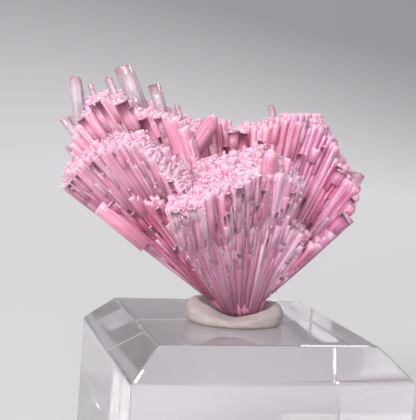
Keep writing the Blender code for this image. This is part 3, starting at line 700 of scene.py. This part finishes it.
def single_crystals(crystals, companions, zone, seed):
    """Prisms for crystals given as foot, tip, radius and the form of the end.

    Each has thinner companions that lie along its sides and end a little short of its tip.
    """
    chance = np.random.default_rng(seed)
    groups = []
    for foot, tip, radius, end in crystals:
        foot, tip = np.array(foot), np.array(tip)
        line = tip - foot
        length = np.linalg.norm(line)
        rises, shares, peak, slope = END_SHAPES[end]
        end_length = radius * (1.3 if end == "dome" else 0.9 if end == "point" else 0.15)
        stations = np.array([0.0, 0.5, 1 - end_length / length]
                            + [1 - end_length / length * (1 - rise) for rise in rises])
        radii = np.array([[radius * 0.95, radius, radius] + [radius * share for share in shares]])
        made = prisms(foot[None], tip[None], radii, stations, EDGED_HEXAGON,
                      chance.uniform(0, math.tau, 1), np.array([slope]), np.array([peak * radius]))
        groups.append((made, np.array([zone])))
        for _ in range(companions):
            turn = chance.uniform(0, math.tau)
            aside = np.array([math.cos(turn), math.sin(turn) * 0.8, 0.35 * math.cos(turn)]) * radius * 0.75
            thin = radius * chance.uniform(0.22, 0.42)
            short = tip + aside - line * chance.uniform(0.03, 0.35)
            radii = np.array([[thin, thin, thin * 0.9, thin * 0.5]])
            made = prisms((foot + aside)[None], short[None], radii, np.array([0.0, 0.5, 0.95, 1.0]), HEXAGON,
                          chance.uniform(0, math.tau, 1), np.array([0.2]), np.array([thin * 0.2]))
            groups.append((made, np.array([zone])))
    return groups


def clear_material():
    """Nearly colourless tourmaline: see-through, ruled lengthwise, pink at the tip."""
    material, node, output = new_material("clear tourmaline")
    across_and_down = node("UVMap", {"uv_map": "across and down"}).outputs[0]
    down = node("SeparateXYZ", Vector=across_and_down).outputs["Y"]
    drawn = node("Mapping", Vector=across_and_down, Scale=(7.0, 0.25, 1.0))
    ridges = node("TexNoise", Vector=drawn.outputs[0], Scale=1.0, Detail=3.0)
    cap = node("MapRange", Value=down, From_Min=1.6, From_Max=0.2, To_Max=0.85)
    colour = node("MixRGB", Fac=cap.outputs[0], Color1=(*CLEAR_LILAC, 1.0), Color2=(*CAP_PINK, 1.0))
    rough = node("MapRange", Value=ridges.outputs["Fac"], From_Min=0.4, From_Max=0.7, To_Min=0.10,
                 To_Max=0.35)
    bump = node("Bump", Strength=0.6, Distance=0.0001, Height=ridges.outputs["Fac"])
    shader = node("BsdfPrincipled", Base_Color=colour.outputs[0], Roughness=rough.outputs[0],
                  IOR=TOURMALINE_IOR, Transmission_Weight=CRYSTAL_CLEARNESS, Normal=bump.outputs[0])
    tint = node("VolumeAbsorption", Color=(*CLEAR_TINT, 1.0), Density=TINT_DENSITY)
    plug(material, shader.outputs[0], output.inputs["Surface"])
    plug(material, tint.outputs[0], output.inputs["Volume"])
    return material


clear = crystal_piece("clear_crystals", single_crystals(CLEAR_CRYSTALS, 3, CLEAR_ZONE, 31),
                      clear_material())
standing = crystal_piece("standing_crystals", single_crystals(PINK_CRYSTALS, 2, STANDING_ZONE, 32),
                         pink)

# Floor and light. A pale sweep of paper under and behind the object, and soft boxes.
# The sweep is a flat part, a quarter bend and a wall, and it lies a hair under the block.
FLOOR = (0.60, 0.59, 0.60)
SWEEP_HALF_WIDTH = 2.5
SWEEP_FRONT = -1.0
SWEEP_FLAT = 1.5
SWEEP_BEND = 0.9
SWEEP_WALL = 0.6
SWEEP_ROWS = 40
HAIR = 0.00005
stage_material, node, output = new_material("pale paper")
paper = node("BsdfPrincipled", Base_Color=(*FLOOR, 1.0), Roughness=0.9)
plug(stage_material, paper.outputs[0], output.inputs["Surface"])
across = np.array([-SWEEP_HALF_WIDTH, SWEEP_HALF_WIDTH])
sweep = np.linspace(0, 1, SWEEP_ROWS)
turn = np.clip((sweep - 0.4) / 0.4, 0, 1) * math.pi / 2
back = SWEEP_FRONT + np.minimum(sweep, 0.4) / 0.4 * SWEEP_FLAT + SWEEP_BEND * np.sin(turn)
up = SWEEP_BEND * (1 - np.cos(turn)) + np.clip((sweep - 0.8) / 0.2, 0, 1) * SWEEP_WALL - HAIR
size = (SWEEP_ROWS, 2)
sheet = np.stack([np.broadcast_to(across, size), np.broadcast_to(back[:, None], size),
                  np.broadcast_to(up[:, None], size)], -1).reshape(-1, 3)
step = np.arange(SWEEP_ROWS - 1) * 2
mesh = bpy.data.meshes.new("paper_sweep")
mesh.from_pydata(sheet.tolist(), [], np.stack([step, step + 1, step + 3, step + 2], -1).tolist())
mesh.materials.append(stage_material)
mesh.shade_smooth()
floor = bpy.data.objects.new("paper_sweep", mesh)
bpy.context.scene.collection.objects.link(floor)

bpy.context.scene.view_settings.view_transform = "Standard"
world = bpy.data.worlds.new("soft grey room")
world.use_nodes = True
world.node_tree.nodes["Background"].inputs[0].default_value = (0.88, 0.87, 0.92, 1.0)
world.node_tree.nodes["Background"].inputs[1].default_value = 0.45
bpy.context.scene.world = world


def soft_box(name, place, aim, size, power):
    """A square area light at a place, in metres, that faces the point it is aimed at."""
    light = bpy.data.lights.new(name, "AREA")
    light.size = size
    light.energy = power
    lamp = bpy.data.objects.new(name, light)
    lamp.location = place
    lamp.rotation_euler = (Vector(aim) - Vector(place)).to_track_quat("-Z", "Y").to_euler()
    bpy.context.scene.collection.objects.link(lamp)


middle = (0.0, 0.0, 0.03)
soft_box("key light", (-0.55, -0.50, 0.60), middle, 0.40, 7.0)
soft_box("low light", (-0.20, -0.60, 0.08), middle, 0.30, 1.7)
soft_box("back light", (0.20, 0.60, 0.60), middle, 0.35, 3.0)

# Camera. It stands where the photograph was taken from, a little above the block's top and
# turned to the left of its front, and it leans by a few degrees.
CAMERA_PLACE = (-0.037497, -0.113829, 0.044031)
CAMERA_YAW = math.radians(-16.10)
CAMERA_PITCH = math.radians(5.76)
CAMERA_ROLL = math.radians(4.20)
LENS = 87.38
level = Vector((math.cos(CAMERA_YAW), math.sin(CAMERA_YAW), 0.0))
behind = Vector((math.sin(CAMERA_YAW) * math.cos(CAMERA_PITCH),
                 -math.cos(CAMERA_YAW) * math.cos(CAMERA_PITCH), math.sin(CAMERA_PITCH)))
upright = behind.cross(level)
sideways = level * math.cos(CAMERA_ROLL) + upright * math.sin(CAMERA_ROLL)
upward = upright * math.cos(CAMERA_ROLL) - level * math.sin(CAMERA_ROLL)
lens = bpy.data.cameras.new("camera")
lens.lens = LENS
lens.clip_start = 0.01
camera = bpy.data.objects.new("camera", lens)
camera.matrix_world = (Matrix.Translation(CAMERA_PLACE)
                       @ Matrix((sideways, upward, behind)).transposed().to_4x4())
bpy.context.scene.collection.objects.link(camera)
bpy.context.scene.camera = camera
